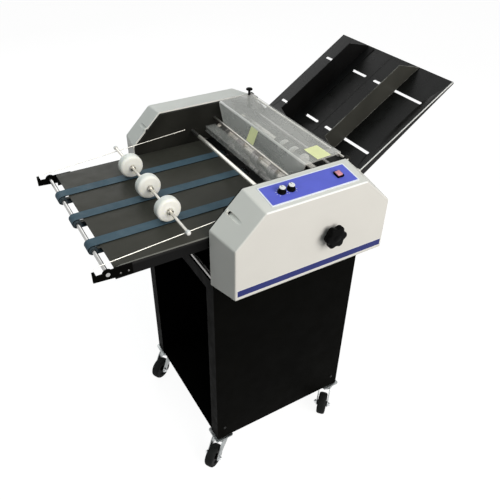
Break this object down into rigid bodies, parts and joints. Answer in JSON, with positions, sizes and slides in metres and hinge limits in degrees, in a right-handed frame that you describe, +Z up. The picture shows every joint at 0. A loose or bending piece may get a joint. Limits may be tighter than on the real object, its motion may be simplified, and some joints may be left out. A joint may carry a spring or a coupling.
{
  "type": "paper creasing machine",
  "caption": "Floor-standing rotary paper creasing machine: wheeled open cabinet, end covers, clear guard, sloping feed tray and belt delivery table with a weight roller.",
  "frame": {"origin": "centre of the bounding box, on the floor under the caster wheels", "axes": "+Z up, +X towards the feed tray, -X towards the delivery table, -Y towards the operator"},
  "size_m": [0.9884, 0.687, 1.1455],
  "materials": {
    "black_paint": "satin",
    "cover_grey": "satin",
    "table_grey": "satin",
    "zinc": "satin",
    "steel": "satin",
    "chrome": "polished",
    "black_plastic": "satin",
    "black_rubber": "matte",
    "belt_rubber": "matte",
    "ivory_plastic": "gloss",
    "clear_acrylic": "gloss",
    "panel_film": "satin",
    "switch_red": "gloss",
    "motor_paint": "satin",
    "board_green": "satin"
  },
  "bodies": {
    "machine": {"near_panel": "black_paint", "far_panel": "black_paint", "base_and_back": "black_paint", "top_plate": "black_paint", "near_side_frame": "black_paint", "far_side_frame": "black_paint", "roller_brackets": "black_paint", "feed_plate": "black_paint", "feed_tray": "black_paint", "near_cover": "cover_grey", "far_cover": "cover_grey", "conveyor_table": "table_grey", "screws": "zinc", "caster_plates": "zinc", "tie_rods": "steel", "shaft_bearings": "steel", "separator": "steel", "guide_wires": "chrome", "guard_rods": "chrome", "switch_bezel": "black_plastic", "power_inlet": "black_plastic", "drive_belts": "black_rubber", "conveyor_belts": "belt_rubber", "crossbar": "ivory_plastic", "exit_guide": "clear_acrylic", "control_panel": "panel_film", "gear_motor": "motor_paint", "control_board": "board_green"},
    "caster_near_front": {"fork_near_front": "zinc"},
    "caster_near_rear": {"fork_near_rear": "zinc"},
    "caster_far_front": {"fork_far_front": "zinc"},
    "caster_far_rear": {"fork_far_rear": "zinc"},
    "tread_near_front": {"wheel_near_front": "black_rubber"},
    "tread_near_rear": {"wheel_near_rear": "black_rubber"},
    "tread_far_front": {"wheel_far_front": "black_rubber"},
    "tread_far_rear": {"wheel_far_rear": "black_rubber"},
    "lower_crease": {"lower_shaft": "steel", "crease_dies": "steel", "lower_gear": "steel", "hand_knob": "black_plastic"},
    "upper_crease": {"upper_shaft": "steel", "crease_blades": "steel", "upper_gear": "steel"},
    "feed_roller": {"feed_shaft": "steel", "feed_wheels": "black_rubber"},
    "delivery_drive": {"drive_roller": "steel"},
    "delivery_front": {"front_shaft": "steel", "front_pulleys": "black_plastic"},
    "weight_carrier": {"weight_rod": "chrome"},
    "weight_near": {"weight_wheel_near": "ivory_plastic"},
    "weight_middle": {"weight_wheel_middle": "ivory_plastic"},
    "weight_far": {"weight_wheel_far": "ivory_plastic"},
    "guard": {"safety_guard": "clear_acrylic", "guard_clips": "chrome"},
    "guard_screw": {"guard_knob": "black_plastic"},
    "speed_front": {"speed_knob_front": "black_plastic"},
    "speed_rear": {"speed_knob_rear": "black_plastic"},
    "rocker": {"power_rocker": "switch_red"},
    "guide_left": {"left_guide": "black_paint"},
    "guide_right": {"right_guide": "black_paint"}
  },
  "joints": [
    {"name": "swivel_near_front", "type": "hinge", "parent": "machine", "child": "caster_near_front", "pos_m": [-0.19124, -0.1935, 0.1], "axis": [0, 0, 1], "continuous": true},
    {"name": "roll_near_front", "type": "hinge", "parent": "caster_near_front", "child": "tread_near_front", "pos_m": [-0.23067, -0.21719, 0.0375], "axis": [0.515, -0.8572, 0], "continuous": true},
    {"name": "swivel_near_rear", "type": "hinge", "parent": "machine", "child": "caster_near_rear", "pos_m": [0.22476, -0.1935, 0.1], "axis": [0, 0, 1], "continuous": true},
    {"name": "roll_near_rear", "type": "hinge", "parent": "caster_near_rear", "child": "tread_near_rear", "pos_m": [0.19111, -0.22487, 0.0375], "axis": [0.682, -0.7314, 0], "continuous": true},
    {"name": "swivel_far_front", "type": "hinge", "parent": "machine", "child": "caster_far_front", "pos_m": [-0.19124, 0.2225, 0.1], "axis": [0, 0, 1], "continuous": true},
    {"name": "roll_far_front", "type": "hinge", "parent": "caster_far_front", "child": "tread_far_front", "pos_m": [-0.23186, 0.2009, 0.0375], "axis": [0.4695, -0.8829, 0], "continuous": true},
    {"name": "swivel_far_rear", "type": "hinge", "parent": "machine", "child": "caster_far_rear", "pos_m": [0.22476, 0.2225, 0.1], "axis": [0, 0, 1], "continuous": true},
    {"name": "roll_far_rear", "type": "hinge", "parent": "caster_far_rear", "child": "tread_far_rear", "pos_m": [0.18574, 0.19812, 0.0375], "axis": [0.5299, -0.848, 0], "continuous": true},
    {"name": "lower_crease_spin", "type": "hinge", "parent": "machine", "child": "lower_crease", "pos_m": [0.05376, 0.0145, 0.871], "axis": [0, 1, 0], "continuous": true},
    {"name": "upper_crease_spin", "type": "hinge", "parent": "machine", "child": "upper_crease", "pos_m": [0.05376, 0.0145, 0.913], "axis": [0, 1, 0], "continuous": true},
    {"name": "feed_spin", "type": "hinge", "parent": "machine", "child": "feed_roller", "pos_m": [0.13576, 0.0145, 0.93], "axis": [0, 1, 0], "continuous": true},
    {"name": "delivery_drive_spin", "type": "hinge", "parent": "machine", "child": "delivery_drive", "pos_m": [0.00176, 0.0145, 0.8797], "axis": [0, 1, 0], "continuous": true},
    {"name": "delivery_front_spin", "type": "hinge", "parent": "machine", "child": "delivery_front", "pos_m": [-0.46124, 0.0145, 0.8797], "axis": [0, 1, 0], "continuous": true},
    {"name": "weight_slide", "type": "slide", "parent": "machine", "child": "weight_carrier", "axis": [1, 0, 0], "range_m": [-0.17, 0]},
    {"name": "weight_near_spin", "type": "hinge", "parent": "weight_carrier", "child": "weight_near", "pos_m": [-0.27124, -0.1045, 0.9233], "axis": [0, 1, 0], "continuous": true},
    {"name": "weight_middle_spin", "type": "hinge", "parent": "weight_carrier", "child": "weight_middle", "pos_m": [-0.27124, 0.0145, 0.9233], "axis": [0, 1, 0], "continuous": true},
    {"name": "weight_far_spin", "type": "hinge", "parent": "weight_carrier", "child": "weight_far", "pos_m": [-0.27124, 0.1335, 0.9233], "axis": [0, 1, 0], "continuous": true},
    {"name": "guard_hinge", "type": "hinge", "parent": "machine", "child": "guard", "pos_m": [0.16276, 0.0145, 0.993], "axis": [0, 1, 0], "range_deg": [0, 85]},
    {"name": "guard_screw_spin", "type": "hinge", "parent": "guard", "child": "guard_screw", "pos_m": [0.14576, 0.2275, 1.01], "axis": [0, 0, 1], "continuous": true},
    {"name": "speed_front_turn", "type": "hinge", "parent": "machine", "child": "speed_front", "pos_m": [-0.06124, -0.26777, 0.99574], "axis": [0, -0.1524, 0.9883], "range_deg": [-150, 150]},
    {"name": "speed_rear_turn", "type": "hinge", "parent": "machine", "child": "speed_rear", "pos_m": [-0.03624, -0.26777, 0.99574], "axis": [0, -0.1524, 0.9883], "range_deg": [-150, 150]},
    {"name": "rocker_tip", "type": "hinge", "parent": "machine", "child": "rocker", "pos_m": [0.09776, -0.26719, 0.99199], "axis": [0, 0.9883, 0.1524], "range_deg": [0, 16]},
    {"name": "guide_left_slide", "type": "slide", "parent": "machine", "child": "guide_left", "axis": [0, 1, 0], "range_m": [-0.065, 0.09]},
    {"name": "guide_right_slide", "type": "slide", "parent": "machine", "child": "guide_right", "axis": [0, -1, 0], "range_m": [-0.065, 0.09]}
  ],
  "couplings": [
    {"joint": "upper_crease_spin", "follows": "lower_crease_spin", "ratio": -1},
    {"joint": "feed_spin", "follows": "lower_crease_spin", "ratio": -1},
    {"joint": "delivery_drive_spin", "follows": "lower_crease_spin", "ratio": 1.8},
    {"joint": "delivery_front_spin", "follows": "lower_crease_spin", "ratio": 1.8}
  ]
}
